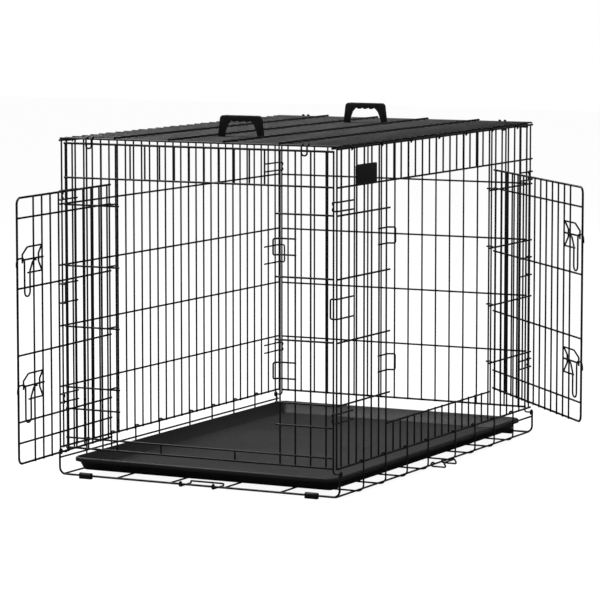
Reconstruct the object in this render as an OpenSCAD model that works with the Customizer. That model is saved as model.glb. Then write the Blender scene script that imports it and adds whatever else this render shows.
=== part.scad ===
// Folding wire dog crate with a front door, a side door, a slide-out tray and two carry handles.
// +Z is up, the floor is Z = 0, and the origin is the centre of the footprint.
// The front end faces -Y and the side with the second door faces +X.
// Every wire is a round bar. Crossing wires sink into each other a little, as spot welds do.

/* [Crate] */
// Length between the corner bars of a side panel
crate_l = 1070; // [880:10:1250]
// Width between the bars of the two side panels
crate_w = 700; // [560:10:840]
// Height of the side panels' top wire above the floor
crate_h = 774; // [680:2:860]
// Height of the panels' bottom wire above the floor
panel_foot = 70; // [66:1:80]
// Rows of cells in a panel
rows = 5; // [4:1:5]
// How much lower the end panels' top wire is, so that they fold in under the top
end_drop = 6; // [6:0.5:12]
// How far the end panels stand inside the ends of the side panels
end_inset = 2; // [1:0.5:4]
// Space between an end panel's outer bar and the side panel's bars, centre to centre
end_side_gap = 9; // [8.6:0.1:12]

/* [Wire] */
// Diameter of the upright bars and bent wires
bar_d = 4; // [3.6:0.1:4.2]
// Diameter of the row wires
row_d = 4.4; // [4.2:0.1:4.6]
// Diameter of the frame wires
frame_d = 5; // [4.7:0.1:5.2]
// Pitch of the upright bars
bar_pitch = 38; // [34:0.5:42]
// Least distance from a corner bar to the next upright
corner_clear = 20; // [15:1:25]
// Depth that two wires sink into each other at a weld
weld = 0.25; // [0.15:0.05:0.4]
// Gap between pieces that move past each other
gap = 0.35; // [0.3:0.05:0.5]
// Length of a cross wire's end past the wire it is welded to
wire_end = 2; // [1.5:0.5:3]

/* [Doorways] */
// Bays of the bar pitch across the front doorway
front_bays = 11; // [7:2:11]
// Bays of the bar pitch across the side doorway
side_bays = 15; // [9:2:17]
// Drop from the side panels' top wire to the header wire over the doors
header_drop = 84; // [70:1:110]
// Height of the front sill wire above the bottom wire
front_sill = 23; // [15:1:40]
// Height of the extra strip wire beside the front doorway, above the bottom wire
front_strip = 90; // [70:1:100]
// Height of the side sill wire above the bottom wire
side_sill = 70; // [40:1:90]
// Length of a row wire past the jamb, where the shut door stops
stub = 10; // [6:1:12]

/* [Doors] */
// Angle that the front door stands open
front_open = 87; // [0:1:150]
// Angle that the side door stands open
side_open = 43.5; // [0:0.5:150]
// How far a shut door laps over the latch jamb
door_lap = 22; // [16:1:26]
// Width of the door's outer bay, left free for the keepers
outer_bay = 65; // [60:1:75]
// Gap between the header wire and the door's top wire
door_top_gap = 12; // [9:1:20]
// Gap between the sill wire and the door's bottom wire
door_sill_gap = 10; // [8:1:20]
// Radius of the door frame's outer corners
door_corner = 14; // [8:1:20]
// Height of the extra low row wire above the front door's bottom wire
low_row = 45; // [30:1:60]
// Distance from the hinge bar to the cut ends of the door's row wires
hinge_cut = 8; // [7:1:12]

/* [Latches] */
// Height of the front door's upper bolt above the row wire below it
front_latch_high = 53.5; // [45:0.5:62]
// Height of the front door's lower bolt above the lowest row wire
front_latch_low = 58; // [45:0.5:65]
// Height of the side door's upper bolt above the row wire below it
side_latch_high = 78; // [60:0.5:84]
// Height of the side door's lower bolt above the lowest row wire
side_latch_low = 70; // [60:0.5:72]
// How far the front keepers' eyes stand above the bolts, whose hooks drop behind their lower prongs
front_keeper_lift = 13.5; // [0:0.5:15]
// Travel of a latch bolt
bolt_travel = 30; // [26:1:34]
// Diameter of the bolt's sliding rod
rod_d = 4.4; // [4.2:0.1:4.6]
// Half the height of the bracket that holds the bolt
bracket_rise = 28; // [26:1:30]
// Half the height of a keeper's eye
keeper_rise = 18; // [16:1:22]
// How far a keeper reaches into the doorway
keeper_reach = 5; // [4:0.5:6]
// Drop from the bolt's rod to the bottom of its finger loop
finger_drop = 80; // [70:1:90]
// Width of the finger loop between wire centres
finger_w = 24; // [20:1:26]

/* [Corner hooks] */
// Height of the upper snap hooks above the top row wire
snap_over = 20; // [17:1:40]
// Drop of the lower snap hooks below the lowest row wire
snap_under = 27.5; // [17:0.5:45]
// Height of the guard loops above the middle of their row of cells
guard_lift = 5; // [0:1:20]
// Distance between the prongs of a snap hook
snap_w = 20; // [16:1:24]
// Distance between the prongs of a guard loop
guard_w = 44; // [36:1:50]
// Length of the prongs along the side panel
prong_l = 74; // [60:1:90]
// How far the hooks wrap round onto the end panel
hook_wrap = 13; // [12:0.5:17]

/* [Base] */
// Height of the floor frame wire's centre
floor_z = 7.3; // [6.8:0.1:9]
// Height of the hinge pins of the end panels
pin_z = 58; // [54:1:60]
// Height of the long wire along the base's side lip
lip_z = 46; // [40:1:50]
// Bend radius at the floor corners
floor_bend = 15; // [10:1:20]
// Bays across the floor between its long wires
floor_bays = 5; // [4:1:6]
// Length of a foot sleeve
foot_l = 31; // [24:1:40]
// Width of a foot sleeve
foot_w = 12; // [11:1:16]
// Height of a foot sleeve
foot_h = 14; // [13.5:0.5:14.5]
// Distance from a corner to the middle of a foot sleeve
foot_in = 60; // [40:1:75]
// Running gap of a sleeve or bore on its wire
fit_gap = 0.06; // [0.03:0.01:0.1]

/* [Tray] */
// Distance from the side panels' bars to the tray's rim
tray_side_gap = 10; // [8:0.5:16]
// Distance from the end panels' bars to the tray's rim
tray_end_gap = 11; // [8:0.5:20]
// Height of the tray's rim above the floor
tray_top = 45; // [38:0.5:46]
// Corner radius of the tray
tray_r = 30; // [28:1:40]
// Thickness of the tray's floor and walls
tray_t = 2.4; // [2:0.1:3]
// Height of the rim's outer skirt
tray_skirt = 10; // [7:1:16]
// How far the walls lean in from the rim's edge to the floor
tray_lean = 22; // [14:1:23]
// Distance from a foot sleeve to the middle of the runner beside it
runner_in = 70; // [40:5:90]
// Width of a runner at its foot
runner_w = 8; // [6:1:14]
// Distance from the tray's corner centres to the ends of the runners
runner_set = 40; // [20:5:80]

/* [Handles] */
// Width of a handle at its feet
handle_w = 116; // [100:1:122]
// Height of a handle above its hinge wire
handle_h = 50; // [42:1:60]
// Thickness of a handle front to back
handle_t = 15; // [12:0.5:18]
// Bays of the bar pitch from the middle of the top to a handle
handle_bays = 8; // [6:1:9]
// Radius of a handle's hinge boss
boss_r = 5.6; // [5:0.1:5.8]
// Width of a handle's leg at the hinge wire
leg_w = 14; // [12:1:16]
// Thickness of the grip above the finger hollows
grip_t = 12; // [9:1:15]

/* [Pan stops and plate] */
// Width of the pan stop on the front floor wire
stop_w = 84; // [70:1:100]
// Length of the front pan stop under the tray
stop_l = 54; // [45:1:70]
// Width of the pan stop on the side floor wire
side_stop_w = 60; // [50:1:66]
// Length of the side pan stop
side_stop_l = 34; // [25:1:36]
// Width of the plain name plate
plate_w = 104; // [80:1:110]
// Height of the plain name plate
plate_h = 45; // [36:1:50]
// Distance from the front corner to the middle of the name plate
plate_in = 131; // [126:1:170]
// Height of the name plate's middle above the header wire
plate_lift = 23; // [22:1:32]

/* [Hidden] */
$fn = 48;

// Wire radii and the offsets between welded wires
bar_r = bar_d / 2;
row_r = row_d / 2;
frame_r = frame_d / 2;
rod_r = rod_d / 2;
row_off = bar_r + row_r - weld;     // a row wire outside the bars
frame_off = bar_r + frame_r - weld; // a frame wire outside the bars
side_by = 2 * bar_r - weld;         // two bars welded side by side
bend = 4;                           // inner bends of the small wire forms, at the centre line

// Panel levels and planes
end_top = crate_h - end_drop;
row_h = (end_top - panel_foot) / rows;
row_zs = [for (i = [1 : rows - 1]) panel_foot + i * row_h];
header_z = crate_h - header_drop;
bar_low = panel_foot - wire_end;
side_x = crate_w / 2;
end_y = crate_l / 2 - end_inset;
end_bar_x = side_x - end_side_gap;
front_half = front_bays * bar_pitch / 2;
side_half = side_bays * bar_pitch / 2;

// Base: the lip stands where its curls wrap the side panels' bottom wires
curl_r = frame_r + gap + bar_r;
lip_x = side_x + frame_off + curl_r;
eye_r = bar_r + gap + frame_r;
post_y = end_y + eye_r;
cross_z = floor_z - (row_r + bar_r - weld);
grid_top = floor_z + frame_r;

// Doors: shut, their frame lies just outside the panel's row wires
door_off = frame_off + 2 * frame_r + gap;
door_bar_off = door_off - frame_off;
door_row_off = door_bar_off + row_off;
front_door_w = 2 * front_half + door_lap;
side_door_w = 2 * side_half + door_lap;
door_top = header_z - door_top_gap;
front_door_foot = panel_foot + front_sill + door_sill_gap;
side_door_foot = panel_foot + side_sill + door_sill_gap;
hinge_eye_r = 2 * bar_r + gap;

// Latches: the bolt slides outside the door's wires, the bracket and keepers reach over it
bolt_off = door_off + frame_r + gap + rod_r;
over_off = bolt_off + rod_r + gap + bar_r;
bracket_off = door_bar_off + side_by;
front_latch_zs = [row_zs[0] + front_latch_low, row_zs[rows - 3] + front_latch_high];
side_latch_zs = [row_zs[0] + side_latch_low, row_zs[rows - 3] + side_latch_high];

// Top: its cross wires curl over the side panels' top wires
top_z = crate_h + curl_r;
top_edge_x = end_bar_x - 2;
top_edge_z = top_z - frame_off;

// Tray: its floor passes over the feet and the pan stops' eyes, and its runners slide on the floor wires
tray_x = side_x - tray_side_gap;
tray_y = end_y - tray_end_gap;
stop_ring_r = frame_r + gap + bar_r;
tray_z = max(foot_h, floor_z + stop_ring_r + bar_r) + gap;
runner_z = grid_top + gap;
runner_x = side_x - foot_in - foot_l / 2 - runner_in;

// Hooks: their prongs lie outside the side panel and wrap round outside the end panel
hook_y = end_y + row_off + row_r + gap + bar_r;
snap_zs = [row_zs[0] - snap_under, row_zs[rows - 2] + snap_over];
guard_z = (row_zs[1] + row_zs[2]) / 2 + guard_lift;

wire_black = [0.07, 0.07, 0.075];
plastic_black = [0.11, 0.11, 0.115];
tray_black = [0.16, 0.16, 0.165];

// Upright positions: half a pitch either side of the middle, kept clear of the corner bars
function uprights(half) =
    let (n = floor((half - corner_clear) / bar_pitch + 0.5))
    [for (i = [0 : 2 * n - 1]) (i - n + 0.5) * bar_pitch];

// A door's row wires pass clear of the panel's row wires when the door swings
function door_row(i) = row_zs[i] + (i == rows - 2 ? 6 : -6 - 5 * (rows - 3 - i));

// Middle-of-bay positions of the floor's cross wires, every third bay
floor_ys = [for (j = [0 : 10]) let (y = bar_pitch * (2 + 3 * j)) if (y < crate_l / 2 - 2 * bar_pitch) y];

function unit(v) = v / norm(v);

// ---- wire forms ----

// A straight round wire from a to b
module wire(a, b, r) {
    v = b - a;
    translate(a)
        rotate([0, acos(v.z / norm(v)), atan2(v.y, v.x)])
            cylinder(h = norm(v), r = r);
}

// An arc of round wire about centre c. It starts on the side `from` points to and sets off along `toward`.
module arc(c, from, toward, radius, r, angle) {
    n = cross(from, toward);
    multmatrix([[from.x, toward.x, n.x, c.x],
                [from.y, toward.y, n.y, c.y],
                [from.z, toward.z, n.z, c.z],
                [0, 0, 0, 1]])
        rotate_extrude(angle = angle)
            translate([radius, 0])
                circle(r);
}

// A round wire through the points, bent at each inner point with the given centre-line radius.
// A bend is a hair thicker than its straights, and they run a little way into it.
module bent_wire(points, r, radius) {
    last = len(points) - 1;
    hair = 0.02;
    lap = 0.25;
    turns = [for (i = [0 : last])
        i == 0 || i == last ? 0
        : let (u = unit(points[i] - points[i - 1]), v = unit(points[i + 1] - points[i]))
          acos(max(-1, min(1, u * v)))];
    // length taken off a straight by the bend at its end, less the lap
    cuts = [for (t = turns) t > 0 ? radius * tan(t / 2) - lap : 0];
    for (i = [0 : last - 1]) {
        u = unit(points[i + 1] - points[i]);
        wire(points[i] + u * cuts[i], points[i + 1] - u * cuts[i + 1], r);
    }
    for (i = [1 : last - 1]) {
        u = unit(points[i] - points[i - 1]);
        v = unit(points[i + 1] - points[i]);
        inward = unit(cross(cross(u, v), u));
        start = points[i] - u * radius * tan(turns[i] / 2);
        arc(start + inward * radius, -inward, u, radius, r + hair, turns[i]);
    }
}

// Children drawn on a face of the crate: X along the face, Y outwards from its bars
module on_face(angle, distance) {
    rotate(angle) translate([0, distance, 0]) children();
}
module on_front() { on_face(180, end_y) children(); }
module on_back() { on_face(0, end_y) children(); }
module on_right() { on_face(-90, side_x) children(); }
module on_left() { on_face(90, side_x) children(); }

// ---- panels ----

module upright(x, low, high) { wire([x, 0, low], [x, 0, high], bar_r); }
module row(from, to, z, off = row_off, r = row_r) { wire([from, off, z], [to, off, z], r); }
module frame_row(half, z) { row(-half, half, z, frame_off, frame_r); }

// Row wires beside a doorway, each with a stub past the jamb
module strips(half, doorway_half, zs) {
    for (z = zs, side = [-1, 1])
        row(side * (half + wire_end), side * (doorway_half - stub), z);
}

module full_side_panel() {
    half = crate_l / 2;
    for (x = concat([-half, half], uprights(half)))
        upright(x, bar_low, crate_h + wire_end / 2);
    for (z = row_zs) row(-half - wire_end, half + wire_end, z);
    for (z = [panel_foot, crate_h]) frame_row(half + wire_end, z);
}

module left_panel() {
    color(wire_black) on_left() full_side_panel();
}

module right_panel() {
    half = crate_l / 2;
    high = crate_h + wire_end / 2;
    sill_z = panel_foot + side_sill;
    color(wire_black) on_right() {
        for (x = concat([-half, half], uprights(half)))
            if (abs(x) < side_half - bar_pitch / 2) {
                upright(x, header_z - wire_end, high);
                upright(x, bar_low, sill_z + wire_end);
            } else
                upright(x, bar_low, high);
        row(-half - wire_end, half + wire_end, header_z);
        row(-side_half - stub / 2, side_half + stub / 2, sill_z);
        strips(half, side_half, row_zs);
        for (z = [panel_foot, crate_h]) frame_row(half + wire_end, z);
    }
}

// The outer bar of an end panel, bent out at the foot into its hinge pin
module hinge_bar(side) {
    bent_wire([[side * end_bar_x, 0, end_top + wire_end],
               [side * end_bar_x, 0, pin_z],
               [side * (lip_x + frame_r + wire_end), 0, pin_z]], bar_r, 6);
}

module back_panel() {
    color(wire_black) on_back() {
        for (side = [-1, 1]) hinge_bar(side);
        for (x = uprights(side_x)) upright(x, bar_low, end_top + wire_end);
        for (z = row_zs) row(-end_bar_x - 1, end_bar_x + 1, z);
        for (z = [panel_foot, end_top]) frame_row(end_bar_x + 1, z);
    }
}

module front_panel() {
    high = end_top + wire_end;
    sill_z = panel_foot + front_sill;
    short_bar = 2.5 * bar_pitch;
    color(wire_black) on_front() {
        for (side = [-1, 1]) hinge_bar(side);
        for (x = uprights(side_x))
            if (abs(x) < front_half - bar_pitch / 2)
                upright(x, header_z - wire_end, high);
            else
                upright(x, bar_low, high);
        for (x = [-short_bar, short_bar]) upright(x, bar_low, sill_z + wire_end);
        for (z = [header_z, sill_z]) row(-end_bar_x - 1, end_bar_x + 1, z);
        strips(end_bar_x - 1, front_half, concat(row_zs, [panel_foot + front_strip]));
        for (z = [panel_foot, end_top]) frame_row(end_bar_x + 1, z);
    }
}

// The top panel: cross wires over long wires, with every fourth cross wire curled over the side panels
module top_panel() {
    cross_ys = concat([-crate_l / 2, crate_l / 2], uprights(crate_l / 2));
    curl_every = 4;
    hinge_x = side_x + frame_off;
    color(wire_black) {
        for (i = [0 : len(cross_ys) - 1]) {
            y = cross_ys[i];
            curled = i > 1 && i % curl_every == 3;
            reach = curled ? hinge_x : side_x + 2 * wire_end;
            wire([-reach, y, top_z], [reach, y, top_z], bar_r);
            if (curled)
                for (side = [-1, 1])
                    arc([side * hinge_x, y, crate_h], [0, 0, 1], [side, 0, 0], curl_r, bar_r, 165);
        }
        for (x = [-top_edge_x, top_edge_x])
            wire([x, -crate_l / 2 - wire_end, top_edge_z], [x, crate_l / 2 + wire_end, top_edge_z], frame_r);
        for (i = [1 : floor_bays - 1]) {
            x = (i / floor_bays - 0.5) * crate_w;
            z = top_z - row_off;
            wire([x, -crate_l / 2 - wire_end, z], [x, crate_l / 2 + wire_end, z], row_r);
        }
    }
}

// U hooks that hang from the top panel's end wire, outside the end panel's top wire
module top_hooks(end) {
    y = end * (end_y + frame_off + frame_r + gap + bar_r);
    root = end * (crate_l / 2 - 3);
    x = 7.2 * bar_pitch;
    z = top_z + side_by;
    low = end_top - 2 * frame_d;
    half = 7;
    color(wire_black)
        for (cx = [-x, x])
            bent_wire([[cx - half, root, z], [cx - half, y, z], [cx - half, y, low],
                       [cx + half, y, low], [cx + half, y, z], [cx + half, root, z]],
                      bar_r, half - 1);
}
module front_top_hooks() { top_hooks(-1); }
module rear_top_hooks() { top_hooks(1); }

// ---- base ----

module base_grid() {
    hinge_x = side_x + frame_off;
    long_z = cross_z + side_by;
    lip_off = bar_r + row_r - weld;
    color(wire_black) {
        // end wires: corner post, floor, corner post, with an eye round each hinge pin
        for (end = [-1, 1]) {
            y = end * post_y;
            bent_wire([[-lip_x, y, pin_z], [-lip_x, y, floor_z], [lip_x, y, floor_z], [lip_x, y, pin_z]],
                      frame_r, floor_bend);
            for (side = [-1, 1])
                arc([side * lip_x, end * end_y, pin_z], [0, end, 0], [0, 0, 1], eye_r, frame_r, 265);
        }
        // cross wires, bent up into the lip and curled over the side panels' bottom wires
        for (y = concat(floor_ys, -floor_ys)) {
            bent_wire([[-lip_x, y, panel_foot], [-lip_x, y, cross_z],
                       [lip_x, y, cross_z], [lip_x, y, panel_foot]],
                      bar_r, floor_bend);
            for (side = [-1, 1])
                arc([side * hinge_x, y, panel_foot], [side, 0, 0], [0, 0, 1], curl_r, bar_r, 180);
        }
        for (side = [-1, 1]) {
            wire([side * side_x, -post_y, floor_z], [side * side_x, post_y, floor_z], row_r);
            wire([side * (lip_x - lip_off), -post_y - wire_end, lip_z],
                 [side * (lip_x - lip_off), post_y + wire_end, lip_z], row_r);
        }
        for (i = [1 : floor_bays - 1]) {
            x = (i / floor_bays - 0.5) * crate_w;
            wire([x, -post_y, long_z], [x, post_y, long_z], bar_r);
        }
    }
}

// A plastic sleeve round the floor wire, round above and flat underneath
module foot() {
    rotate([90, 0, 90])
        translate([0, 0, -foot_l / 2])
            linear_extrude(foot_l)
                difference() {
                    union() {
                        translate([0, foot_h - foot_w / 2]) circle(foot_w / 2);
                        translate([-foot_w / 2 + 1, 0]) square([foot_w - 2, foot_h - foot_w / 2]);
                    }
                    translate([0, floor_z]) circle(frame_r + fit_gap);
                }
}
module feet(end) {
    color(plastic_black)
        for (side = [-1, 1])
            translate([side * (side_x - foot_in), end * post_y, 0]) foot();
}
module front_feet() { feet(-1); }
module rear_feet() { feet(1); }

// ---- tray ----

// Section of the tray's edge: floor, sloped wall, rim and skirt. X is the distance past the corner centre.
module tray_section() {
    wall_foot = tray_r - tray_lean;
    rim = tray_r - 5.5;
    polygon([[0, tray_z], [wall_foot, tray_z], [rim, tray_top - tray_t],
             [tray_r - tray_t, tray_top - tray_t], [tray_r - tray_t, tray_top - tray_skirt],
             [tray_r, tray_top - tray_skirt], [tray_r, tray_top - 1.5], [tray_r - 1.5, tray_top],
             [rim - 1.8, tray_top], [wall_foot - 1.6, tray_z + tray_t + 1.2],
             [wall_foot - 4, tray_z + tray_t], [0, tray_z + tray_t]]);
}

module tray() {
    cx = tray_x - tray_r;
    cy = tray_y - tray_r;
    color(tray_black) {
        for (q = [0 : 3]) {
            along_x = q % 2 == 0;
            out = along_x ? cy : cx;
            run = along_x ? cx : cy;
            // one straight side, then the corner that follows it
            rotate(q * 90) {
                translate([-run, out, 0])
                    rotate([90, 0, 90])
                        linear_extrude(2 * run) tray_section();
                translate([-run, out, 0])
                    rotate(90)
                        rotate_extrude(angle = 90) tray_section();
            }
        }
        translate([-cx, -cy, tray_z]) cube([2 * cx, 2 * cy, tray_t]);
        // runners pressed down in the floor
        run = cy - runner_set;
        for (x = [-runner_x, runner_x])
            translate([x, -run, 0])
                rotate([-90, 0, 0])
                    linear_extrude(2 * run)
                        polygon([[-runner_w / 2 - 3, -tray_z - 0.2], [-runner_w / 2, -runner_z],
                                 [runner_w / 2, -runner_z], [runner_w / 2 + 3, -tray_z - 0.2]]);
    }
}

// ---- doors, hung on the jamb bar: X runs from the hinge, Y is outwards times hand ----

module door_wires(width, foot, hand, extra_rows) {
    first_bar = (width - outer_bay) % bar_pitch;
    frame = hand * door_off;
    bar = hand * door_bar_off;
    bent_wire([[hinge_cut, frame, door_top], [width, frame, door_top], [width, frame, foot],
               [hinge_cut, frame, foot]], frame_r, door_corner);
    for (x = [first_bar : bar_pitch : width - outer_bay + 1])
        wire([x, bar, foot - wire_end], [x, bar, door_top + wire_end], bar_r);
    for (z = concat([for (i = [0 : rows - 2]) if (door_row(i) > foot + 20) door_row(i)], extra_rows))
        wire([hinge_cut, hand * door_row_off, z], [width, hand * door_row_off, z], row_r);
    // hinge eyes round the jamb bar, each resting on a row wire of the panel
    for (z = row_zs) {
        eye_z = z + row_r + bar_r + gap;
        if (eye_z > foot) {
            wire([0, hand * hinge_eye_r, eye_z], [first_bar + bar_r, hand * hinge_eye_r, eye_z], bar_r);
            arc([0, 0, eye_z], [0, hand, 0], [-1, 0, 0], hinge_eye_r, bar_r, 265);
        }
    }
}

module hang_front_door() {
    translate([-front_half, -end_y, 0]) rotate(-front_open) children();
}
module hang_side_door() {
    translate([side_x, side_half, 0]) rotate(side_open - 90) children();
}

module front_door() {
    color(wire_black) hang_front_door()
        door_wires(front_door_w, front_door_foot, -1, [front_door_foot + low_row]);
}
module side_door() {
    color(wire_black) hang_side_door()
        door_wires(side_door_w, side_door_foot, 1, []);
}

// ---- latches, placed by the door's outer bar ----

// Bracket: one wire welded to two door bars, arched over the bolt's rod at both sides
module bracket(width, z, hand) {
    inner = width - outer_bay - bar_pitch - 9;
    outer = width - outer_bay + 25;
    low = hand * bracket_off;
    high = hand * over_off;
    color(wire_black)
        bent_wire([[outer, high, z - 8], [outer, high, z + 11], [outer - 4, low, z + bracket_rise],
                   [inner + 4, low, z + bracket_rise], [inner, high, z + 9], [inner, high, z - 9],
                   [inner + 4, low, z - bracket_rise], [outer - 5, low, z - bracket_rise]],
                  bar_r, bend);
}

// Bolt: a sliding rod, with a hook for the keeper that runs on into a long finger loop
module bolt(width, z, hand) {
    y = hand * bolt_off;
    tip = width - 6;
    leg = tip - bolt_travel - 5;
    back = leg - finger_w;
    under = z - rod_r - bar_r + weld;
    color(wire_black) {
        wire([back - 59, y, z], [leg + 5, y, z], rod_r);
        bent_wire([[tip, y, z - 14], [tip, y, z + 4], [leg, y, z + 4], [leg, y, z - finger_drop],
                   [back, y, z - finger_drop], [back, y, z - 26],
                   [back - 14, y, under], [back - 28, y, under]],
                  bar_r, finger_w / 2 - 1);
    }
}

// Keeper: a U of wire across the latch jamb and the next bar, standing out over the shut door's bay
module keeper(jamb, side, z, past) {
    tail = jamb + side * (bar_pitch + past);
    tip = jamb - side * (keeper_reach + bar_r);
    bent_wire([[tail, side_by, z + keeper_rise], [jamb, side_by, z + keeper_rise],
               [tip, over_off, z + keeper_rise], [tip, over_off, z - keeper_rise],
               [jamb, side_by, z - keeper_rise], [tail, side_by, z - keeper_rise]], bar_r, bend);
}

module front_upper_bracket() { hang_front_door() bracket(front_door_w, front_latch_zs[1], -1); }
module front_lower_bracket() { hang_front_door() bracket(front_door_w, front_latch_zs[0], -1); }
module side_upper_bracket() { hang_side_door() bracket(side_door_w, side_latch_zs[1], 1); }
module side_lower_bracket() { hang_side_door() bracket(side_door_w, side_latch_zs[0], 1); }
module front_upper_bolt() { hang_front_door() bolt(front_door_w, front_latch_zs[1], -1); }
module front_lower_bolt() { hang_front_door() bolt(front_door_w, front_latch_zs[0], -1); }
module side_upper_bolt() { hang_side_door() bolt(side_door_w, side_latch_zs[1], 1); }
module side_lower_bolt() { hang_side_door() bolt(side_door_w, side_latch_zs[0], 1); }

module front_keepers() {
    color(wire_black) on_front()
        for (z = front_latch_zs) keeper(-front_half, -1, z + front_keeper_lift, 4);
}
module side_keepers() {
    color(wire_black) on_right()
        for (z = side_latch_zs) keeper(side_half, 1, z, 11);
}

// ---- hooks at the corners, welded along the side panels' bars ----

// Snap hook: two prongs that wrap round the corner and close in a notch
module snap_hook(end, z) {
    tail = end * (crate_l / 2 - prong_l);
    y = side_by - hook_wrap;
    half = snap_w / 2;
    bent_wire([[tail, side_by, z + half], [end * hook_y, side_by, z + half], [end * hook_y, y, z + half],
               [end * hook_y, y + 5, z], [end * hook_y, y, z - half], [end * hook_y, side_by, z - half],
               [tail, side_by, z - half]], bar_r, 3);
}

// Guard loop: the same reach round the corner, taller and closed straight
module guard_loop(end, z) {
    tail = end * (crate_l / 2 - prong_l);
    y = side_by - hook_wrap - 3;
    half = guard_w / 2;
    bent_wire([[tail, side_by, z + half], [end * hook_y, side_by, z + half], [end * hook_y, y, z + half],
               [end * hook_y, y, z - half], [end * hook_y, side_by, z - half], [tail, side_by, z - half]],
              bar_r, bend);
}

module snap_hooks() {
    for (end = [-1, 1], z = snap_zs) snap_hook(end, z);
}
module guard_loops() {
    for (end = [-1, 1]) guard_loop(end, guard_z);
}
module left_snap_hooks() { color(wire_black) on_left() snap_hooks(); }
module right_snap_hooks() { color(wire_black) on_right() snap_hooks(); }
module left_guard_loops() { color(wire_black) on_left() guard_loops(); }
module right_guard_loops() { color(wire_black) on_right() guard_loops(); }

// ---- carry handles, hinged on a cross wire of the top ----

// Front view of a handle, from its hinge at the origin
module handle_outline() {
    leg_x = handle_w / 2;
    top_x = leg_x - 6;
    open_x = leg_x - leg_w;
    r = 9;
    difference() {
        union() {
            polygon([[-leg_x, 0], [-top_x, handle_h - r], [-top_x + r, handle_h],
                     [top_x - r, handle_h], [top_x, handle_h - r], [leg_x, 0]]);
            for (x = [-top_x + r, top_x - r]) translate([x, handle_h - r]) circle(r);
        }
        // opening for the hand, with four finger hollows under the grip
        polygon([[-open_x, -1], [-open_x, 8], [-open_x + 7, handle_h - grip_t - 10],
                 [-open_x + 14, handle_h - grip_t - 3], [open_x - 14, handle_h - grip_t - 3],
                 [open_x - 7, handle_h - grip_t - 10], [open_x, 8], [open_x, -1]]);
        for (i = [-1.5 : 1 : 1.5]) translate([i * 16, handle_h - grip_t - 9.5]) circle(9.5);
    }
}

module handle(end) {
    boss_x = handle_w / 2 - leg_w / 2;
    waist = handle_t / 2;
    color(plastic_black)
        translate([0, end * (handle_bays * bar_pitch + bar_pitch / 2), top_z])
            difference() {
                union() {
                    intersection() {
                        rotate([90, 0, 0])
                            translate([0, 0, -waist])
                                linear_extrude(handle_t) handle_outline();
                        // the legs taper to the bosses and the grip is rounded over
                        rotate([90, 0, 90])
                            translate([0, 0, -handle_w])
                                linear_extrude(2 * handle_w)
                                    union() {
                                        polygon([[-boss_r, 0], [-waist, 22], [-waist, handle_h - 5],
                                                 [-waist + 5, handle_h], [waist - 5, handle_h],
                                                 [waist, handle_h - 5], [waist, 22], [boss_r, 0]]);
                                        for (y = [-waist + 5, waist - 5])
                                            translate([y, handle_h - 5]) circle(5);
                                    }
                    }
                    for (x = [-boss_x, boss_x])
                        translate([x - leg_w / 2, 0, 0]) rotate([0, 90, 0]) cylinder(h = leg_w, r = boss_r);
                }
                translate([-handle_w, 0, 0])
                    rotate([0, 90, 0])
                        cylinder(h = 2 * handle_w, r = bar_r + fit_gap);
            }
}
module front_handle() { handle(-1); }
module rear_handle() { handle(1); }

// ---- pan stops: a U of wire with an eye at each leg, hung on a floor wire ----

// Drawn with the floor wire along X through the origin, and the U lying along +Y with its end turned up
module pan_stop(width, length, ring_r, lift) {
    half = width / 2;
    tip = length - 6;
    for (side = [-1, 1])
        arc([side * half, 0, 0], [0, 0, -1], [0, -1, 0], ring_r, bar_r, 265);
    bent_wire([[-half, 0, -ring_r], [-half, length, -ring_r], [-half, tip, lift],
               [half, tip, lift], [half, length, -ring_r], [half, 0, -ring_r]], bar_r, 2.5);
}

module front_pan_stop() {
    color(wire_black)
        translate([0, -post_y, floor_z]) pan_stop(stop_w, stop_l, stop_ring_r, 0);
}
module side_pan_stop() {
    color(wire_black)
        translate([side_x, 0, floor_z])
            rotate(-90) pan_stop(side_stop_w, side_stop_l, row_r + gap + bar_r, 6);
}

// ---- plain name plate, held to the header wire and two bars by pads ----

module name_plate() {
    x = crate_l / 2 - plate_in;
    bars = [for (b = uprights(crate_l / 2)) if (abs(b - x) < plate_w / 2 - 6) b];
    back = row_off + row_r - weld;
    z = header_z + plate_lift;
    r = 5;
    color(plastic_black) on_right() {
        translate([x, back, z])
            rotate([-90, 0, 0])
                linear_extrude(3)
                    union() {
                        square([plate_w - 2 * r, plate_h], center = true);
                        square([plate_w, plate_h - 2 * r], center = true);
                        for (cx = [-1, 1], cz = [-1, 1])
                            translate([cx * (plate_w / 2 - r), cz * (plate_h / 2 - r)]) circle(r);
                    }
        for (b = bars)
            translate([b - 5, bar_r - weld, header_z + row_r + 2]) cube([10, back - bar_r + weld + 0.5, 12]);
    }
}

// ---- shown pieces ----

base_grid();
front_feet();
rear_feet();
tray();
left_panel();
right_panel();
top_panel();
front_panel();
back_panel();
front_door();
side_door();
front_upper_bracket();
front_lower_bracket();
side_upper_bracket();
side_lower_bracket();
front_upper_bolt();
front_lower_bolt();
side_upper_bolt();
side_lower_bolt();
front_keepers();
side_keepers();
left_snap_hooks();
right_snap_hooks();
left_guard_loops();
right_guard_loops();
front_top_hooks();
rear_top_hooks();
front_handle();
rear_handle();
front_pan_stop();
side_pan_stop();
name_plate();
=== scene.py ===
# %% [markdown]
# # A folding wire dog crate
# This lesson dresses a wire crate whose solids and joints were made in CAD. The CAD wires arrive as
# coarse tubes, so each panel is bent again here from round wire, at the same size and place, and every
# piece gets a finish. The crate stands on Z = 0, its front door faces -Y and its second door faces +X.

# %% Open the frame
import math

import bpy
from mathutils import Matrix, Vector


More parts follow.
